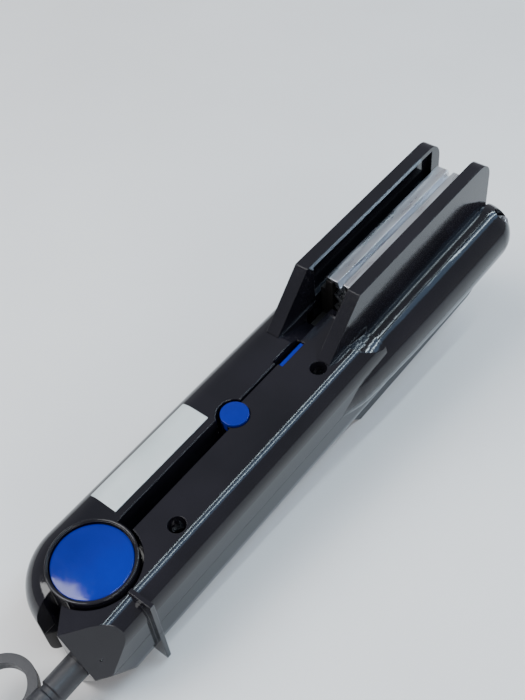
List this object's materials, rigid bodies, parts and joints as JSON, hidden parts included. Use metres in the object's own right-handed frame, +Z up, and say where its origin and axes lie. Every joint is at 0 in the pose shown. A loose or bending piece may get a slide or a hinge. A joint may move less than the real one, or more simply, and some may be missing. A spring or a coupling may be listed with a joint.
{
  "type": "hair crimper",
  "caption": "Two-arm hair crimper with corrugated plates between tall guards, a round hinge with blue caps, a push-in lock button and a mains cord.",
  "frame": {"origin": "middle of the crimper's footprint on the table, the free cord left out", "axes": "+X towards the tip of the plates, +Y towards the arm that opens, +Z up"},
  "size_m": [0.4135, 0.0833, 0.0802],
  "materials": {
    "black_gloss": "glossy moulded",
    "blue_plastic": "glossy moulded",
    "plate_aluminium": "satin rolled",
    "steel": "plated",
    "carrier_resin": "matte moulded",
    "ceramic_pad": "matte",
    "lamp_glass": "clear",
    "label_foil": "satin foil",
    "lead_sleeve": "braided",
    "boot_rubber": "matte",
    "cord_jacket": "satin",
    "tie_plastic": "satin",
    "clamp_nylon": "matte",
    "plug_rubber": "matte"
  },
  "bodies": {
    "main_arm": {"main_shell_upper": "black_gloss", "main_shell_lower": "black_gloss", "main_guard": "black_gloss", "main_heater_carrier": "carrier_resin", "main_crimp_plate": "plate_aluminium", "main_heater": "ceramic_pad", "main_plate_screws": "steel", "thermal_fuse": "ceramic_pad", "pilot_lens": "blue_plastic", "pilot_lamp": "lamp_glass", "case_screws_main": "steel", "pivot_sleeve": "steel", "pivot_cap_upper": "blue_plastic", "pivot_cap_lower": "blue_plastic", "friction_washers": "steel", "main_leads": "lead_sleeve", "cord_clamp": "clamp_nylon", "cord_clamp_screws": "steel", "cord_boot": "boot_rubber", "power_cord": "cord_jacket", "cord_coil": "cord_jacket", "coil_tie": "tie_plastic", "cord_tail": "cord_jacket", "plug_body": "plug_rubber", "plug_pins": "steel"},
    "press_arm": {"press_shell_upper": "black_gloss", "press_shell_lower": "black_gloss", "press_guard": "black_gloss", "press_heater_carrier": "carrier_resin", "press_crimp_plate": "plate_aluminium", "press_heater": "ceramic_pad", "press_plate_screws": "steel", "press_leads": "lead_sleeve", "case_screws_press": "steel", "rating_label": "label_foil"},
    "lock": {"lock_button": "blue_plastic", "lock_clip": "steel"}
  },
  "joints": [
    {"name": "arm_hinge", "type": "hinge", "parent": "main_arm", "child": "press_arm", "pos_m": [-0.0696, -0.0004, 0.01951], "axis": [-0.1267, 0, 0.9919], "range_deg": [0, 15]},
    {"name": "lock_slide", "type": "slide", "parent": "main_arm", "child": "lock", "axis": [0.1267, 0, -0.9919], "range_m": [0, 0.0025]}
  ]
}
